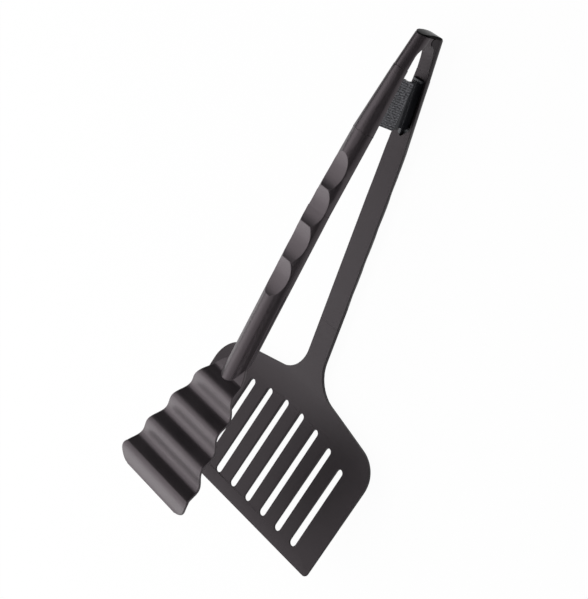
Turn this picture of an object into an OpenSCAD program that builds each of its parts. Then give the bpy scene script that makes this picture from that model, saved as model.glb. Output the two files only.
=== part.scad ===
// Turner tongs for the grill: a slotted turner and a corrugated gripper that
// share one hinge at the head of the handle and are pushed apart by a spring.
// +X runs from the head to the blade, +Z is up with the turner arm lying flat.
// The shapes are built around the hinge axis and then moved to the part origin.

/* [Turner arm] */
// Distance from the hinge axis to the bend at the heel of the blade
heel_x = 211.3; // [190:1:225]
// Width of the arm along the grip
arm_w = 14.2; // [13:0.2:16]
// Thickness of the arm along the grip
arm_t = 5.4; // [5:0.1:6.5]
// Width of the head at the hinge
head_w = 8.8; // [8.6:0.1:9.6]
// Height of the hinge axis above the face that the tool rests on
pin_height = 10.9; // [10.5:0.1:11.5]
// Number of finger scallops on the outside of each arm
scallops = 4; // [2:1:4]
// Distance between neighbouring scallops
scallop_pitch = 20.6; // [19:0.1:21]
// Depth of each scallop
scallop_depth = 2.6; // [1.6:0.1:2.8]

/* [Blade] */
// Width of the blade
blade_w = 132; // [124:0.4:136]
// Length of the blade from its heel to its front edge
blade_len = 71.3; // [68:0.1:78]
// Angle at which the blade rises from the arm
rake = 19.4; // [17:0.1:21]
// Thickness of the blade at its heel
heel_t = 2.2; // [2:0.1:2.6]
// Thickness of the blade at its front edge
edge_t = 0.8; // [0.6:0.1:1.2]
// Number of slots
slots = 8; // [4:2:8]
// Distance between neighbouring slots
slot_pitch = 13.5; // [12:0.1:14]
// Width of each slot
slot_w = 4.6; // [4.4:0.1:5.2]
// Distance from the front edge to the front ends of the slots
slot_margin = 7.4; // [6:0.1:10]
// Length of the longest slots
slot_len = 58; // [50:0.5:59]
// Radius of the arc that the rear ends of the slots follow
slot_crown_r = 135; // [120:1:160]

/* [Gripper arm] */
// Slope of the arm from the head to the spring
grip_slope = 14.6; // [14:0.1:15]
// Width of the arm along the grip
grip_w = 14.1; // [13:0.1:15]
// Slope of the corrugated gripper plate
plate_slope = 22.2; // [21:0.1:23]
// Width of the plate at its front edge
plate_front_w = 58; // [50:0.5:62]
// Width of the plate behind its first wave
plate_back_w = 32; // [28:0.5:34]
// Thickness of the plate
plate_t = 1.5; // [1.3:0.1:2]
// Number of waves between the first crest and the last
waves = 3; // [3:1:3]
// Distance between neighbouring crests
wave_pitch = 18.5; // [17.5:0.1:19]
// Height of the waves
wave_h = 4.1; // [3:0.1:4.6]

/* [Hinge] */
// Radius of the hinge pin
pin_r = 1; // [0.9:0.05:1.1]
// Outer radius of the knuckles
knuckle_r = 2; // [1.9:0.05:2.1]
// Width of the gripper arm's knuckle
knuckle_w = 3; // [2.6:0.1:3.2]
// Thickness of the cap over the head
cap_t = 1.4; // [1.2:0.05:1.6]

/* [Spring] */
// Wire diameter of the return spring
wire_d = 0.5; // [0.45:0.05:0.55]
// Outer radius of the return spring
coil_r = 1.3; // [1.2:0.05:1.35]
// Number of turns
coil_turns = 7; // [5:1:8]
// Width of the sleeve that houses the spring
sleeve_w = 6; // [5.8:0.1:6.2]
// Depth of the sleeve below the gripper arm
sleeve_h = 15.2; // [14:0.1:15.3]
// Gap between the two cheeks of the sleeve
sleeve_gap = 4.2; // [4.1:0.05:4.3]
// Width of the seat's block inside the sleeve
seat_w = 3.8; // [3.6:0.1:3.8]

/* [Hidden] */
$fn = 64;

nylon = [0.23, 0.22, 0.23];
cap_black = [0.06, 0.06, 0.07];
sleeve_blue = [0.34, 0.37, 0.42];
steel = [0.62, 0.63, 0.65];

eps = 0.01;
far = 90;                                  // reaches past the side of any piece
ridge_drop = 0.2;                          // the ridges between scallops lie this far under the surface
floor_z = -pin_height;
inner_z = arm_t - pin_height;              // inner face of the turner arm
head_x = -knuckle_r - 0.05;                // end of the turner arm, seen square to the head
head_tilt = 7;                             // the head's end face leans back by this angle
head_top = 9.4;                            // top and bottom of the end face
head_low = -6.6;
crest_z = head_top - head_w / 2;           // centre of the round at the top of the end face
front_x = heel_x + blade_len * cos(rake) + edge_t * sin(rake);
back_x = turned([head_x - cap_t, crest_z])[0] + 0.264;
part_x = (front_x + back_x) / 2;           // middle of the whole length

// An arc of n steps about [x, z], from angle a0 to angle a1
function arc(x, z, r, a0, a1, n) = [for (i = [0:n]) [x + r * cos(a0 + (a1 - a0) * i / n), z + r * sin(a0 + (a1 - a0) * i / n)]];
// A point at distance d from p in the direction of angle a
function along(p, d, a) = [p[0] + d * cos(a), p[1] + d * sin(a)];
// A point of the head, turned with its end face
function turned(p) = [p[0] * cos(head_tilt) - p[1] * sin(head_tilt), p[0] * sin(head_tilt) + p[1] * cos(head_tilt)];
function mirrored(points) = [for (i = [len(points) - 1:-1:0]) [points[i][0], -points[i][1]]];

// Moves a piece from the hinge axis to the part origin
module placed() {
    translate([-part_x, 0, pin_height]) children();
}

// A profile drawn in X and Z, as thick as w across Y
module side(w) {
    rotate([90, 0, 0]) linear_extrude(w, center = true) children();
}

// A round bar from point p to point q of the XZ plane, a little longer at both ends
module bar(p, rp, q, rq) {
    run = norm(q - p);
    lap = 0.4;
    grow = (rq - rp) / run * lap;
    rise = atan2(q[1] - p[1], q[0] - p[0]);
    translate([p[0], 0, p[1]]) rotate([0, 90 - rise, 0]) translate([0, 0, -lap])
        cylinder(h = run + 2 * lap, r1 = rp - grow, r2 = rq + grow);
}

// A round bar along +X through a list of [x, radius]
module turned_bar(sections) {
    last = len(sections) - 1;
    rotate([0, 90, 0]) rotate_extrude()
        polygon(concat([[0, sections[0][0]]], [for (s = sections) [s[1], s[0]]], [[0, sections[last][0]]]));
}

// Cylinders across the arm that scoop a row of scallops out of the line from p in direction a
module scoops(p, a, outward) {
    r = (pow(scallop_pitch / 2, 2) + pow(scallop_depth, 2)) / (2 * scallop_depth);
    for (i = [0:scallops - 1]) {
        c = along(along(p, (i + 0.5) * scallop_pitch, a), outward * (r - scallop_depth - ridge_drop), a + 90);
        translate([c[0], 0, c[1]]) rotate([90, 0, 0]) cylinder(h = 40, r = r, center = true, $fn = 180);
    }
}

// ---- turner arm: grip, slotted blade and the outer knuckles of the hinge ----

neck_x = 60;                               // where the arm reaches its full section
grip_x = 90;
neck_r = 6.7;
bar_z = inner_z + 0.7;                     // height of the arm's axis
head_back = [-6, -3.1];                    // the head is cut from a bar between these points
head_front = [18, -5.1];
ear_w = head_w - 0.5;                      // width of the block that the knuckles are cut from
pocket = [20.6, 47.2, 52.4];                // rear end, shoulder and point of the seat's pocket
pocket_z = -8.6;
cap_peg = [1, 4.5, -4.1];                  // radius, length and height of the cap's peg
rib_end = 3;                               // how far the arm's rib runs past the heel bend

bend_r = 60;                               // radius of the soft bend at the heel
bend_x = heel_x - bend_r * tan(rake / 2);  // where the bend begins
blade_side = concat(
    [[150, inner_z]], arc(bend_x, inner_z + bend_r, bend_r, -90, rake - 90, 10),
    [along([heel_x, inner_z], blade_len, rake),
     along(along([heel_x, inner_z], blade_len, rake), -edge_t, rake + 90),
     along(along([heel_x, inner_z], blade_len - 3, rake), -edge_t - 0.3, rake + 90)],
    arc(bend_x, inner_z + bend_r, bend_r + heel_t, rake - 90, -90, 10), [[150, inner_z - heel_t]]);

arm_side = concat(
    [turned([head_x, head_low]), turned([head_x, 0])],
    [for (a = [170:-20:10]) turned([knuckle_r * cos(a), knuckle_r * sin(a)])],
    [[knuckle_r, 0], [3.8, -1.4], [6.6, -2.5], [10.4, -3.2], [18, -4], [56, -5.2], [80, inner_z], [heel_x + rib_end, inner_z],
     [heel_x + rib_end, inner_z - 0.8], [heel_x - 12, floor_z], [46, floor_z], [34, floor_z + 0.35], [21, floor_z + 1.3],
     [10, floor_z + 2.5]]);

corner_r = 18;
front_r = 2.5;
fillet_r = 18;
shoulder_a = 12.3;                         // the shoulders slope forward by this angle
corner_x = 16;                           // from the heel bend to the corner's centre
half_w = blade_w / 2;
corner_c = [corner_x, half_w - corner_r];
shoulder_q = along(corner_c, corner_r, 180 - shoulder_a);
fillet_y = arm_w / 2 - 0.1 + fillet_r;
fillet_c = [shoulder_q[0] - (fillet_r + (shoulder_q[1] - fillet_y) * sin(shoulder_a)) / cos(shoulder_a), fillet_y];
shoulder_p = along(fillet_c, fillet_r, -shoulder_a);
edge_half = [
    [-60, arm_w / 2 - 0.1], [fillet_c[0], arm_w / 2 - 0.1], shoulder_p, shoulder_q, corner_c,
    [corner_x, half_w], [blade_len - front_r, half_w], [blade_len - front_r, half_w - front_r], [blade_len, half_w - front_r]];

// Outline of the blade and its shoulders, with the heel bend at x = 0
module blade_outline() {
    difference() {
        union() {
            polygon(concat(edge_half, mirrored(edge_half)));
            for (s = [-1, 1]) {
                translate([corner_x, s * corner_c[1]]) circle(r = corner_r);
                translate([blade_len - front_r, s * (half_w - front_r)]) circle(r = front_r);
            }
        }
        for (s = [-1, 1]) translate([fillet_c[0], s * fillet_c[1]]) circle(r = fillet_r, $fn = 96);
    }
}

module slot(y) {
    front = blade_len - slot_margin - slot_w / 2;
    crown = slot_crown_r - sqrt(pow(slot_crown_r, 2) - pow(y, 2));
    rear = blade_len - slot_margin - slot_len + slot_w / 2 + crown;
    translate([rear, y - slot_w / 2]) square([front - rear, slot_w]);
    for (x = [rear, front]) translate([x, y]) circle(d = slot_w);
}

module blade() {
    intersection() {
        side(2 * far) polygon(blade_side);
        translate([heel_x, 0, inner_z]) rotate([0, -rake, 0]) translate([0, 0, -30]) linear_extrude(60) difference() {
            blade_outline();
            for (i = [0:slots - 1]) slot((i - (slots - 1) / 2) * slot_pitch);
        }
    }
}

module arm_bar() {
    intersection() {
        union() {
            translate([0, 0, bar_z]) turned_bar([
                [head_front[0] - 1, head_w / 2 + 0.1], [neck_x, neck_r], [grip_x, arm_w / 2], [heel_x + 4, arm_w / 2]]);
            bar(head_back, head_w / 2 - 0.1, head_front, head_w / 2 - 0.1);
            translate([head_back[0], -ear_w / 2, head_back[1] - 1]) cube([head_front[0] - 2 - head_back[0], ear_w, 10]);
        }
        side(40) polygon(arm_side);
    }
}

module turner_arm() {
    color(nylon) placed() difference() {
        union() {
            arm_bar();
            blade();
        }
        scoops([70.3, floor_z], 0, -1);
        // gap for the gripper arm's knuckle
        rotate([90, 0, 0]) cylinder(h = knuckle_w + 0.2, r = knuckle_r + 0.2, center = true);
        rotate([0, -head_tilt, 0]) translate([-5, -knuckle_w / 2 - 0.1, -0.3]) cube([10, knuckle_w + 0.2, 10]);
        // blind bore for the pin, open on the left side
        translate([0, head_w / 2 - 0.9, 0]) rotate([90, 0, 0]) cylinder(h = head_w, r = pin_r + 0.02);
        // bore for the cap's peg
        cap_peg_frame() translate([0, 0, -1]) cylinder(h = cap_peg[1] + 1.2, r = cap_peg[0] + 0.02);
        // pocket for the spring seat
        translate([0, 0, pocket_z]) linear_extrude(10) pocket_outline(0);
    }
}

// ---- gripper arm: grip, corrugated plate and the middle knuckle ----

grip_root = [-2, 7.36];                    // end of the inner face above the hinge
grip_neck = along(grip_root, 53.2, grip_slope);
grip_mid = along(grip_neck, 46.1, 13.7);
grip_tail = along(grip_mid, 85.3, 11.03);
grip_end = along(grip_mid, 108, 11.03);
head_lap = [17.2, 12.6];                   // the head's own bar ends here, inside the grip
grip_r = grip_w / 2;
neck_w = 13;
bar_rise = 0.12;                           // the bars' axes lie this far above the inner face
bar_step = 0.12;                           // the middle bar is a little thinner than its neighbours
wave_crest = [194.8, 62.3];                // top of the first crest
plate_back = -17;                          // from the first crest to the rear edge
back_slope = 10.2;                         // slope of the plate behind its first valley
plate_front = waves * wave_pitch + 8.5;
plate_corner = 7;

// Height of the plate's upper face below its crests, with a plain flank behind the first valley
function wave(g) = g > -wave_pitch / 2 ? -wave_h * (1 - cos(360 * g / wave_pitch)) / 2
    : -wave_h + (g + wave_pitch / 2) * tan(back_slope);
// A point of the plate's frame, in the hinge's frame
function plate_point(g, z) = along(along(wave_crest, g, plate_slope), z, plate_slope + 90);

module plate_frame() {
    translate([wave_crest[0], 0, wave_crest[1]]) rotate([0, -plate_slope, 0]) children();
}

// Outline of the plate, with the first crest at x = 0
module plate_outline() {
    half = [
        [plate_back, grip_r - 1], [-12, 9.5], [-8, 11.5], [-4, 13], [0, 14.5], [4, plate_back_w / 2 + 0.4],
        [plate_front - plate_corner, plate_front_w / 2 - 0.5],
        [plate_front - plate_corner, plate_front_w / 2 - plate_corner],
        [plate_front, plate_front_w / 2 - plate_corner]];
    polygon(concat(half, mirrored(half)));
    for (s = [-1, 1]) translate([plate_front - plate_corner, s * (plate_front_w / 2 - plate_corner)]) circle(r = plate_corner - 0.3);
}

module plate() {
    steps = 64;
    gs = [for (i = [0:steps]) plate_back + (plate_front - plate_back) * i / steps];
    top = [for (g = gs) [g, wave(g)]];
    bottom = [for (i = [steps:-1:0]) [gs[i], wave(gs[i]) - plate_t]];
    plate_frame() intersection() {
        side(2 * far) polygon(concat(top, bottom));
        translate([0, 0, -20]) linear_extrude(40) plate_outline();
    }
}

grip_side = concat(
    [turned([head_x + 0.2, head_top + 0.6]), turned([head_x + 0.2, 1]), turned([knuckle_r, 1])],
    arc(10.7, 1.8, 8.6, 176, 112, 6),
    [along(grip_root, 12, grip_slope), grip_neck, grip_mid, grip_tail],
    [for (g = [plate_back:1:-4]) plate_point(g, wave(g) - plate_t + 0.2)],
    [grip_end + [0, 12], grip_neck + [0, 12], [16, 18], [4, 13]]);

module grip_bar() {
    intersection() {
        translate([0, 0, bar_rise]) {
            translate([grip_root[0], 0, grip_root[1]]) rotate([0, -grip_slope, 0]) turned_bar([
                [17.6, head_w / 2 + 0.05], [53.8, neck_w / 2]]);
            bar(turned([head_x - 0.6, crest_z]), head_w / 2 - 0.1, head_lap, head_w / 2 - 0.1);
            bar(grip_neck, neck_w / 2 - bar_step, grip_mid, grip_r - bar_step);
            bar(grip_mid, grip_r, grip_end, grip_r);
            rotate([0, -head_tilt, 0]) translate([head_x, -head_w / 2 + 0.4, 0]) cube([14, head_w - 0.8, crest_z]);
        }
        side(40) polygon(grip_side);
    }
}

module gripper_arm() {
    color(nylon) placed() difference() {
        union() {
            difference() {
                grip_bar();
                // the outer knuckles turn in this round hollow
                for (s = [-1, 1]) translate([0, s * (5 + knuckle_w / 2), 0]) rotate([90, 0, 0])
                    cylinder(h = 10, r = knuckle_r + 0.15, center = true);
            }
            rotate([90, 0, 0]) cylinder(h = knuckle_w, r = knuckle_r, center = true);
            plate();
        }
        scoops(along(along(grip_neck, 13, 13.7), grip_r, 103.7), 12.2, 1);
        rotate([90, 0, 0]) cylinder(h = 20, r = pin_r + 0.05, center = true);
        sleeve_frame() translate([0, 0, -1]) cylinder(h = 4.2, r = sleeve_peg_r + 0.02);
    }
}

// ---- hinge pin, cap and spring ----

module hinge_pin() {
    color(steel) placed() translate([0, head_w / 2 - 1, 0]) rotate([90, 0, 0]) cylinder(h = head_w - 1.4, r = pin_r);
}

cap_crown = 30;                            // radius of the cap's rounded back
cap_low_r = 4.3;

// Frame at the cap's inner face, with Z along the peg
module cap_peg_frame() {
    rotate([0, 90 - head_tilt, 0]) translate([-cap_peg[2], 0, head_x]) children();
}

module head_cap() {
    color(cap_black) placed() {
        rotate([0, -head_tilt, 0]) intersection() {
            union() {
                for (z = [head_low + cap_low_r - 0.4, crest_z])
                    translate([head_x - cap_t, 0, z]) rotate([0, 90, 0])
                        cylinder(h = cap_t, d = z > 0 ? head_w : 2 * cap_low_r, $fn = 180);
                translate([head_x - cap_t, 0.1 - head_w / 2, head_low + cap_low_r - 0.4])
                    cube([cap_t, head_w - 0.2, head_top - head_low - head_w / 2 - cap_low_r + 0.4]);
            }
            translate([head_x - cap_t - 1, -head_w, head_low]) cube([cap_t + 2, 2 * head_w, head_top - head_low + 1]);
            translate([head_x - cap_t + cap_crown, 20, 1]) rotate([90, 0, 0]) cylinder(h = 40, r = cap_crown, $fn = 720);
        }
        cap_peg_frame() translate([0, 0, -0.5]) cylinder(h = cap_peg[1] + 0.5, r = cap_peg[0]);
    }
}

// Outline of the pocket in the turner arm, drawn smaller by gap for the seat
module pocket_outline(gap) {
    polygon([
        [pocket[0] + gap, -3.3 + gap], [pocket[0] + gap, 3.3 - gap], [pocket[1], 4.5 - gap],
        [pocket[2] - 2 * gap, 0], [pocket[1], -4.5 + gap]]);
}

sleeve_peg_r = 1.8;
sleeve_rear = -16;                         // ends of the sleeve, from its peg
sleeve_front = 9.4;
sleeve_roof = 1.2;
spring_foot = [36.6, 2.1];                 // centre of the spring's lower end
spring_head = [33.75, 15.3];               // centre of its upper end
spring_run = norm(spring_head - spring_foot);
spring_tilt = atan2(spring_foot[0] - spring_head[0], spring_head[1] - spring_foot[1]);

// Frame on the gripper arm's inner face, above the middle of the spring
module sleeve_frame() {
    c = along(grip_root, 38.6, grip_slope);
    translate([c[0], 0, c[1]]) rotate([0, -grip_slope, 0]) children();
}

module spring_frame() {
    translate([spring_foot[0], 0, spring_foot[1]]) rotate([0, -spring_tilt, 0]) children();
}

// Two cheeks under a roof, open at both ends, pegged into the gripper arm
module spring_sleeve() {
    color(sleeve_blue) placed() sleeve_frame() {
        difference() {
            side(sleeve_w) polygon([[sleeve_rear, -eps], [sleeve_front, -eps],
                [sleeve_front, -sleeve_h], [sleeve_rear, 4 - sleeve_h]]);
            translate([sleeve_rear - 1, -sleeve_gap / 2, -sleeve_h - 1])
                cube([sleeve_front - sleeve_rear + 2, sleeve_gap, sleeve_h + 1 - sleeve_roof]);
        }
        translate([0, 0, -1]) cylinder(h = 3.9, r = sleeve_peg_r);
    }
}

seat_top = 5.9;
well_w = 2.9;                              // width of the spring's well in the seat
web_w = 1.2;
rail_w = 1.8;
seat_side = [[22.2, seat_top], [47.4, seat_top], [48.2, 0.6], [22.8, 2]];
web_side = [[22.4, pocket_z + 0.5], [22.6, 2.3], [47.6, 0.95], [48, pocket_z + 0.5]];
rail_side = [[22.2, pocket_z + 0.5], [22.2, -1.4], [50.6, -3.4], [50.6, -4.6], [48.4, -4.7], [48.4, pocket_z + 0.5]];

// Block that slides inside the sleeve, on a web and a rail that stand in the pocket
module spring_seat() {
    color(sleeve_blue) placed() {
        translate([0, 0, pocket_z + 0.02]) linear_extrude(0.8) pocket_outline(0.1);
        side(web_w) polygon(web_side);
        side(rail_w) polygon(rail_side);
        translate([pocket[0] + 0.3, -3, pocket_z + 0.5]) cube([1.3, 6, 6]);
        difference() {
            side(seat_w) polygon(seat_side);
            translate([spring_foot[0] - 2.6, -well_w / 2, spring_foot[1] - 0.3]) cube([4.1, well_w, seat_top]);
        }
    }
}

// The coil is swept along its helix; each ring has the wire's section
module return_spring() {
    sides = 8;
    per_turn = 20;
    rings = coil_turns * per_turn;
    r = coil_r - wire_d / 2;
    rise = spring_run - wire_d;
    function ring(i) = [for (k = [0:sides - 1]) let (a = 360 * i / per_turn, b = 360 * k / sides, d = r + wire_d / 2 * cos(b))
        [d * cos(a), d * sin(a), wire_d / 2 + rise * i / rings + wire_d / 2 * sin(b)]];
    points = [for (i = [0:rings]) each ring(i)];
    skin = [for (i = [0:rings - 1], k = [0:sides - 1]) let (n = (k + 1) % sides)
        [i * sides + k, i * sides + n, (i + 1) * sides + n, (i + 1) * sides + k]];
    ends = [[for (k = [sides - 1:-1:0]) k], [for (k = [0:sides - 1]) rings * sides + k]];
    color(steel) placed() spring_frame() polyhedron(points, concat(skin, ends));
}

turner_arm();
gripper_arm();
hinge_pin();
head_cap();
spring_sleeve();
spring_seat();
return_spring();
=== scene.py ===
import bpy, math
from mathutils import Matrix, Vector
from mathutils.bvhtree import BVHTree


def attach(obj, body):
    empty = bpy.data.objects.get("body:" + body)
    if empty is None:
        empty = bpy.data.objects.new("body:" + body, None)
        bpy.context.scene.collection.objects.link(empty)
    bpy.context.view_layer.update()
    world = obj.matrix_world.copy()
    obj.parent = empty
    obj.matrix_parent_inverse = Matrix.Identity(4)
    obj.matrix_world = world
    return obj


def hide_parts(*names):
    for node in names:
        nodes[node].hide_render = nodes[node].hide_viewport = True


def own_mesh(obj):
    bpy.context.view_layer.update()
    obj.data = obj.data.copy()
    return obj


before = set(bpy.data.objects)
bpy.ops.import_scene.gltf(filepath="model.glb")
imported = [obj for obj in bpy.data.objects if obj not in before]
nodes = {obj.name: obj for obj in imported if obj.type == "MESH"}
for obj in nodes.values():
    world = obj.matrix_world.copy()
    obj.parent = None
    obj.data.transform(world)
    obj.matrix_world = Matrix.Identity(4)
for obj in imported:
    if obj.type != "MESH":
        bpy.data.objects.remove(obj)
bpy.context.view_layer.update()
print("frame loaded:", ", ".join(sorted(nodes)))


# a node's output that can be used in sums
class Wire:
    def __init__(self, graph, socket):
        self.graph, self.socket = graph, socket

    def join(self, operation, first, second):
        return self.graph.node("ShaderNodeMath", {"operation": operation}, {0: first, 1: second})

    def __add__(self, other): return self.join("ADD", self, other)
    def __radd__(self, other): return self.join("ADD", other, self)
    def __sub__(self, other): return self.join("SUBTRACT", self, other)
    def __rsub__(self, other): return self.join("SUBTRACT", other, self)
    def __mul__(self, other): return self.join("MULTIPLY", self, other)
    def __rmul__(self, other): return self.join("MULTIPLY", other, self)


class Graph:
    def __init__(self, name):
        self.material = bpy.data.materials.new(name)
        self.material.use_nodes = True
        self.tree = self.material.node_tree
        self.tree.nodes.clear()

    # type, settings and sockets of one node; the settings come first
    def node(self, kind, settings=None, inputs=None, output=0):
        made = self.tree.nodes.new(kind)
        for key, value in (settings or {}).items():
            setattr(made, key, value)
        for key, value in (inputs or {}).items():
            if isinstance(value, Wire):
                self.tree.links.new(value.socket, made.inputs[key])
            else:
                made.inputs[key].default_value = value
        return Wire(self, made.outputs[output]) if made.outputs else made

    def noise(self, place, scale, detail=3.0, roughness=0.5):
        return self.node("ShaderNodeTexNoise", None, {
            "Vector": place, "Scale": scale, "Detail": detail, "Roughness": roughness}, "Fac")

    def axis(self, place, letter):
        return self.node("ShaderNodeSeparateXYZ", None, {"Vector": place}, letter)

    def clamped(self, value, low, high):
        return self.node("ShaderNodeMapRange", {"clamp": True}, {
            "Value": value, "From Min": low, "From Max": high})

    def blend(self, factor, first, second):
        return self.node("ShaderNodeMix", {"data_type": "RGBA"}, {
            0: factor, 6: (*first, 1), 7: (*second, 1)}, 2)

    def finish(self, shader):
        self.node("ShaderNodeOutputMaterial", None, {"Surface": shader})
        return self.material


nylonLook = {
    "dark": (0.0085, 0.0070, 0.0078), "light": (0.0140, 0.0116, 0.0128),
    "tint": (1.0, 0.86, 0.93), "gloss": 0.5, "roughness": 0.40,
    "grainPerMetre": 2400, "grainHeight": 0.00004, "mottlePerMetre": 38,
    "scratchStretch": (55, 1500, 900), "scratchDepth": 0.25, "bumpStrength": 0.35,
    "mottleRange": (0.3, 0.7), "rubRange": (0.62, 0.78),
    "mottleRoughness": 0.10, "grainRoughness": 0.12, "rubGloss": 0.06,
}


def mouldedNylon(name, changes):
    look = {**nylonLook, **changes}
    g = Graph(name)
    place = g.node("ShaderNodeTexCoord", output="Object")
    mottle = g.noise(place, look["mottlePerMetre"], 4.0)
    fine = g.noise(place, look["grainPerMetre"], 2.0)
    stretched = g.node("ShaderNodeMapping", None, {"Vector": place, "Scale": look["scratchStretch"]})
    scratch = g.noise(stretched, 1.0, 3.0, 0.6)
    rub = g.clamped(scratch, *look["rubRange"])
    shade = g.clamped(mottle, *look["mottleRange"])
    rough = look["roughness"] + look["mottleRoughness"] * (mottle - 0.5)
    rough = rough + look["grainRoughness"] * (fine - 0.5) - look["rubGloss"] * rub
    height = fine + look["scratchDepth"] * scratch
    if "stepAt" in look:   # a shallow mould step across the arm
        stepEnd = look["stepAt"] + look["stepWidth"]
        height = height + look["stepHeight"] * g.clamped(g.axis(place, "X"), look["stepAt"], stepEnd)
    if "ribPitch" in look:   # fine ribs across the faces of the sleeve
        x, z = g.axis(place, "X"), g.axis(place, "Z")
        wayX, wayZ = look["ribWay"]
        along = (x * wayX + z * wayZ) * (math.tau / look["ribPitch"])
        across = (z * wayX - x * wayZ) * (math.tau / look["ribRow"])
        rib = g.node("ShaderNodeMath", {"operation": "SINE"}, {0: along + look["ribWobble"] * fine})
        row = g.node("ShaderNodeMath", {"operation": "SINE"}, {0: across + look["rowWobble"] * mottle})
        weave = rib * (1 - look["rowShare"] + look["rowShare"] * row)
        height = height + look["ribHeight"] * weave
        # colour: the rib crests are painted lighter, a painted highlight where light catches the ribs,
        # mixed with a scratch-driven wear tone
        crestHighlightAndWear = look["paintedRibHighlight"] * weave + look["wornScratch"] * (scratch - 0.5) + look["highlightWearBase"]
        shade = g.clamped(crestHighlightAndWear, *look["highlightWearRange"])
    colour = g.blend(shade, look["dark"], look["light"])
    bump = g.node("ShaderNodeBump", None, {
        "Strength": look["bumpStrength"], "Distance": look["grainHeight"], "Height": height})
    return g.finish(g.node("ShaderNodeBsdfPrincipled", None, {
        "Base Color": colour, "Roughness": rough, "Normal": bump,
        "Specular IOR Level": look["gloss"], "Specular Tint": (*look["tint"], 1)}))


def drawnSteel(name, look):
    g = Graph(name)
    place = g.node("ShaderNodeTexCoord", output="Object")
    streak = g.noise(place, look["streaksPerMetre"])
    colour = g.blend(streak, look["dark"], look["light"])
    bump = g.node("ShaderNodeBump", None, {
        "Strength": look["bumpStrength"], "Distance": look["streakHeight"], "Height": streak})
    return g.finish(g.node("ShaderNodeBsdfPrincipled", None, {
        "Base Color": colour, "Metallic": 1.0, "Normal": bump,
        "Roughness": look["roughness"] + look["streakRoughness"] * streak}))


gripNylon = mouldedNylon("gripNylon", {"gloss": 0.78, "roughness": 0.38})
bladeNylon = mouldedNylon("bladeNylon", {
    "gloss": 0.32, "roughness": 0.46, "grainHeight": 0.00006,
    "stepAt": 0.0262, "stepWidth": 0.0004, "stepHeight": 3.0})
# the cap is coloured near black, darker than the arms' nylon: painted shade for the head's end, which
# faces away from the lamps
capNylon = mouldedNylon("capNylon", {
    "dark": (0.004, 0.004, 0.0045), "light": (0.007, 0.007, 0.0075), "tint": (1, 1, 1), "gloss": 0.04,
    "roughness": 0.24, "grainHeight": 0.00001})
# sleeve: bluish grey, with its rib crests painted lighter as a painted highlight and a scratch-driven wear
# tone across it
sleeveNylon = mouldedNylon("sleeveNylon", {
    "dark": (0.018, 0.019, 0.023), "light": (0.37, 0.37, 0.40), "tint": (0.95, 0.97, 1.0), "gloss": 0.2,
    "grainHeight": 0.00009, "scratchStretch": (1300, 1300, 700),
    "ribPitch": 0.00125, "ribRow": 0.0036, "ribWay": (0.968, 0.252), "ribHeight": 1.6,
    "ribWobble": 2.5, "rowWobble": 3.0, "rowShare": 0.35,
    "paintedRibHighlight": 0.28, "wornScratch": 2.4, "highlightWearBase": 0.42, "highlightWearRange": (0.1, 0.9)})
seatNylon = mouldedNylon("seatNylon", {
    "dark": (0.018, 0.019, 0.023), "light": (0.040, 0.041, 0.047), "tint": (0.95, 0.97, 1.0)})
springSteel = drawnSteel("springSteel", {
    "dark": (0.45, 0.45, 0.46), "light": (0.62, 0.62, 0.63), "roughness": 0.22,
    "streaksPerMetre": 900, "streakRoughness": 0.15, "streakHeight": 0.00001, "bumpStrength": 0.2})
print("materials made")


def deselect():
    if bpy.context.object and bpy.context.object.mode != "OBJECT":
        bpy.ops.object.mode_set(mode="OBJECT")
    bpy.ops.object.select_all(action="DESELECT")


def pick(obj):
    deselect()
    obj.select_set(True)
    bpy.context.view_layer.objects.active = obj


def dress(obj, material):
    obj.data.materials.clear()
    obj.data.materials.append(material)


def apply(obj, kind, **settings):
    pick(obj)
    modifier = obj.modifiers.new(kind.lower(), kind)
    for key, value in settings.items():
        setattr(modifier, key, value)
    bpy.ops.object.modifier_apply(modifier=modifier.name)


softSet = {"mergeWithin": 0.000004, "flatWithin": 0.02, "normalWeight": 70, "strayShare": 0.6}


# corners that a bevel throws clear of the solid go back to its surface
def tucked(piece, node, limit):
    mesh = nodes[node].data
    surface = BVHTree.FromPolygons([v.co for v in mesh.vertices], [p.vertices[:] for p in mesh.polygons])
    for vertex in piece.data.vertices:
        near, _, _, gap = surface.find_nearest(vertex.co)
        if gap > limit:
            vertex.co = near


# a CAD node's copy, merged, with its edges rounded as the mould leaves them
def softened(name, node, edge):
    piece = bpy.data.objects.new(name, nodes[node].data.copy())
    bpy.context.collection.objects.link(piece)
    pick(piece)
    bpy.ops.object.mode_set(mode="EDIT")
    bpy.ops.mesh.select_all(action="SELECT")
    bpy.ops.mesh.remove_doubles(threshold=softSet["mergeWithin"])
    bpy.ops.mesh.dissolve_limited(angle_limit=math.radians(softSet["flatWithin"]))
    bpy.ops.object.mode_set(mode="OBJECT")
    apply(piece, "BEVEL", width=edge["round"], segments=edge["segments"], limit_method="ANGLE",
        angle_limit=math.radians(edge["from"]), use_clamp_overlap=False, miter_outer="MITER_ARC")
    tucked(piece, node, softSet["strayShare"] * edge["round"])
    pick(piece)
    bpy.ops.object.shade_smooth_by_angle(angle=math.radians(edge["from"]))
    apply(piece, "WEIGHTED_NORMAL", mode="FACE_AREA_WITH_ANGLE", weight=softSet["normalWeight"],
        keep_sharp=True)
    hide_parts(node)
    return piece


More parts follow.
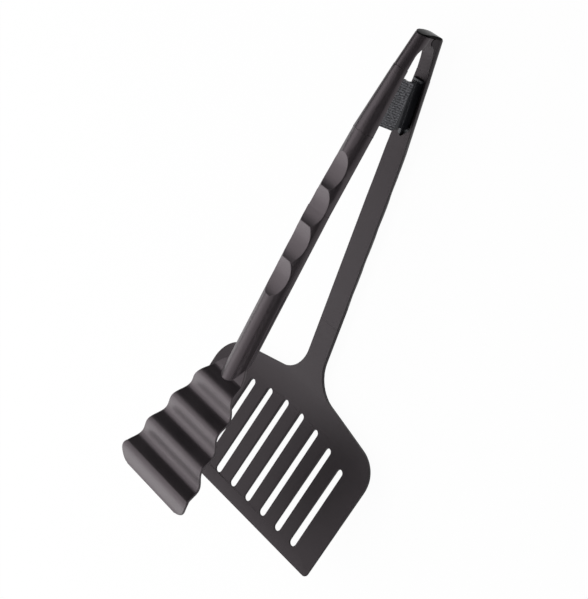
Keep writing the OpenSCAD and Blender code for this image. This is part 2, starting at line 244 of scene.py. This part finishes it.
edges = {
    "turner": {"node": "turner_arm", "body": "turner", "slot": "nylon", "material": bladeNylon,
        "round": 0.00022, "segments": 2, "from": 32},
    "gripper": {"node": "gripper_arm", "body": "gripper", "slot": "nylon", "material": gripNylon,
        "round": 0.00022, "segments": 2, "from": 32},
    "headCap": {"node": "head_cap", "body": "turner", "slot": "cap", "material": capNylon,
        "round": 0.0004, "segments": 4, "from": 40},
    "springSleeve": {"node": "spring_sleeve", "body": "gripper", "slot": "sleeve", "material": sleeveNylon,
        "round": 0.00035, "segments": 3, "from": 30},
    "springSeat": {"node": "spring_seat", "body": "turner", "slot": "seat", "material": seatNylon,
        "round": 0.0002, "segments": 2, "from": 30},
    "hingePin": {"node": "hinge_pin", "body": "turner", "slot": "steel", "material": springSteel,
        "round": 0.0002, "segments": 3, "from": 40},
}
for name, edge in edges.items():
    piece = softened(name, edge["node"], edge)
    dress(piece, edge["material"])
    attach(piece, edge["body"])
    print(name, "softened:", len(piece.data.polygons), "faces")

# the coil starts as one ring of wire at the seat and is wound up to the sleeve
coilSet = {"foot": (-0.100924, 0, 0.0130), "lean": 12.18, "radius": 0.00105, "wire": 0.00025,
    "height": 0.013504, "turns": 7, "stepsPerTurn": 32, "wireSides": 14, "mergeWithin": 0.000002,
    "smoothUnder": 40, "pressedTo": 0.28}
lean = math.radians(coilSet["lean"])
deselect()
bpy.ops.mesh.primitive_circle_add(vertices=coilSet["wireSides"], radius=coilSet["wire"], fill_type="NGON",
    location=(0, 0, 0), rotation=(math.radians(90), 0, 0))
returnCoil = bpy.context.active_object
returnCoil.name = "returnCoil"
bpy.ops.object.transform_apply(location=False, rotation=True)
bpy.ops.object.mode_set(mode="EDIT")
bpy.ops.mesh.select_all(action="SELECT")
bpy.ops.transform.translate(value=(coilSet["radius"], 0, coilSet["wire"]))
bpy.ops.object.mode_set(mode="OBJECT")
rise = (coilSet["height"] - 2 * coilSet["wire"]) / coilSet["turns"]
apply(returnCoil, "SCREW", axis="Z", angle=math.tau, screw_offset=rise, iterations=coilSet["turns"],
    steps=coilSet["stepsPerTurn"], render_steps=coilSet["stepsPerTurn"], use_merge_vertices=True,
    merge_threshold=coilSet["mergeWithin"])
bpy.ops.object.mode_set(mode="EDIT")
bpy.ops.mesh.select_all(action="DESELECT")
bpy.ops.mesh.select_mode(type="EDGE")
bpy.ops.mesh.select_non_manifold(extend=False, use_wire=False, use_multi_face=False,
    use_non_contiguous=False, use_verts=False)
bpy.ops.mesh.edge_face_add()
bpy.ops.mesh.select_all(action="SELECT")
bpy.ops.mesh.normals_make_consistent(inside=False)
bpy.ops.transform.rotate(value=lean, orient_axis="Y", center_override=(0, 0, 0))
bpy.ops.transform.translate(value=coilSet["foot"])
bpy.ops.object.mode_set(mode="OBJECT")
bpy.ops.object.shade_smooth_by_angle(angle=math.radians(coilSet["smoothUnder"]))
dress(returnCoil, springSteel)
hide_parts("return_spring")
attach(returnCoil, "turner")
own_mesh(returnCoil)
print("returnCoil wound:", len(returnCoil.data.polygons), "faces")


cameraSet = {"place": (-0.340514, 0.49608, 0.60035), "turn": (-5.837, 46.906, 117.149), "lens": 97.088,
    "sensor": 36, "clip": (0.05, 20)}
camera = bpy.data.objects.new("camera", bpy.data.cameras.new("camera"))
bpy.context.collection.objects.link(camera)
camera.location = cameraSet["place"]
camera.rotation_euler = [math.radians(a) for a in cameraSet["turn"]]
camera.data.lens = cameraSet["lens"]
camera.data.sensor_width = cameraSet["sensor"]
camera.data.clip_start, camera.data.clip_end = cameraSet["clip"]
bpy.context.scene.camera = camera

lampSet = {
    "keyBox": {"from": (0.66, -0.55, 0.50), "distance": 1.1, "size": (0.85, 0.9), "watts": 5.8},
    "backBox": {"from": (0.30, -0.93, 0.18), "distance": 1.2, "size": (0.9, 0.4), "watts": 2.5},
    "topBox": {"from": (-0.06, -0.57, 0.82), "distance": 1.3, "size": (1.3, 0.95), "watts": 7.8},
    "aboveBox": {"from": (0.02, 0.10, 0.99), "distance": 1.3, "size": (1.3, 0.9), "watts": 4.2},
    "rimBox": {"from": (0.42, 0.65, 0.57), "distance": 1.4, "size": (0.35, 0.35), "watts": 2.0},
    "frontBox": {"from": (-0.35, 0.8, 0.5), "distance": 1.5, "size": (1.0, 0.8), "watts": 0.8},
}
lampAim = Vector((0.03, 0, 0.03))
for name, lamp in lampSet.items():
    light = bpy.data.lights.new(name, "AREA")
    light.shape, light.size, light.size_y = "RECTANGLE", *lamp["size"]
    light.energy = lamp["watts"]
    obj = bpy.data.objects.new(name, light)
    bpy.context.collection.objects.link(obj)
    way = Vector(lamp["from"]).normalized()
    obj.location = lampAim + way * lamp["distance"]
    obj.rotation_euler = (-way).to_track_quat("-Z", "Y").to_euler()

roomSet = {"colour": (0.95, 0.94, 1.0, 1), "strength": 0.035}
world = bpy.data.worlds.new("studio")
bpy.context.scene.world = world
world.use_nodes = True
tree = world.node_tree
tree.nodes.clear()
path = tree.nodes.new("ShaderNodeLightPath")
backdrop = tree.nodes.new("ShaderNodeBackground")
backdrop.inputs["Color"].default_value = (1, 1, 1, 1)
room = tree.nodes.new("ShaderNodeBackground")
room.inputs["Color"].default_value = roomSet["colour"]
room.inputs["Strength"].default_value = roomSet["strength"]
mix = tree.nodes.new("ShaderNodeMixShader")
out = tree.nodes.new("ShaderNodeOutputWorld")
tree.links.new(path.outputs["Is Camera Ray"], mix.inputs[0])
tree.links.new(room.outputs[0], mix.inputs[1])
tree.links.new(backdrop.outputs[0], mix.inputs[2])
tree.links.new(mix.outputs[0], out.inputs["Surface"])

floorSet = {"size": 8, "grey": 0.6, "glow": 1.02, "seenWhite": 0.95, "mirroredWhite": 0.8}
deselect()
bpy.ops.mesh.primitive_plane_add(size=floorSet["size"], location=(0, 0, 0))
floor = bpy.context.active_object
floor.name = "floor"
g = Graph("paleFloor")
ray = g.node("ShaderNodeLightPath", output="Is Camera Ray")
glossy = g.node("ShaderNodeLightPath", output="Is Glossy Ray")
diffuse = g.node("ShaderNodeBsdfDiffuse", None, {"Color": (*[floorSet["grey"]] * 3, 1)})
glow = g.node("ShaderNodeEmission", None, {"Color": (1, 1, 1, 1), "Strength": floorSet["glow"]})
paleShare = ray * floorSet["seenWhite"] + glossy * floorSet["mirroredWhite"]
dress(floor, g.finish(g.node("ShaderNodeMixShader", None, {0: paleShare, 1: diffuse, 2: glow})))
bpy.context.scene.view_settings.view_transform = "Standard"
print("camera, lights and floor placed")
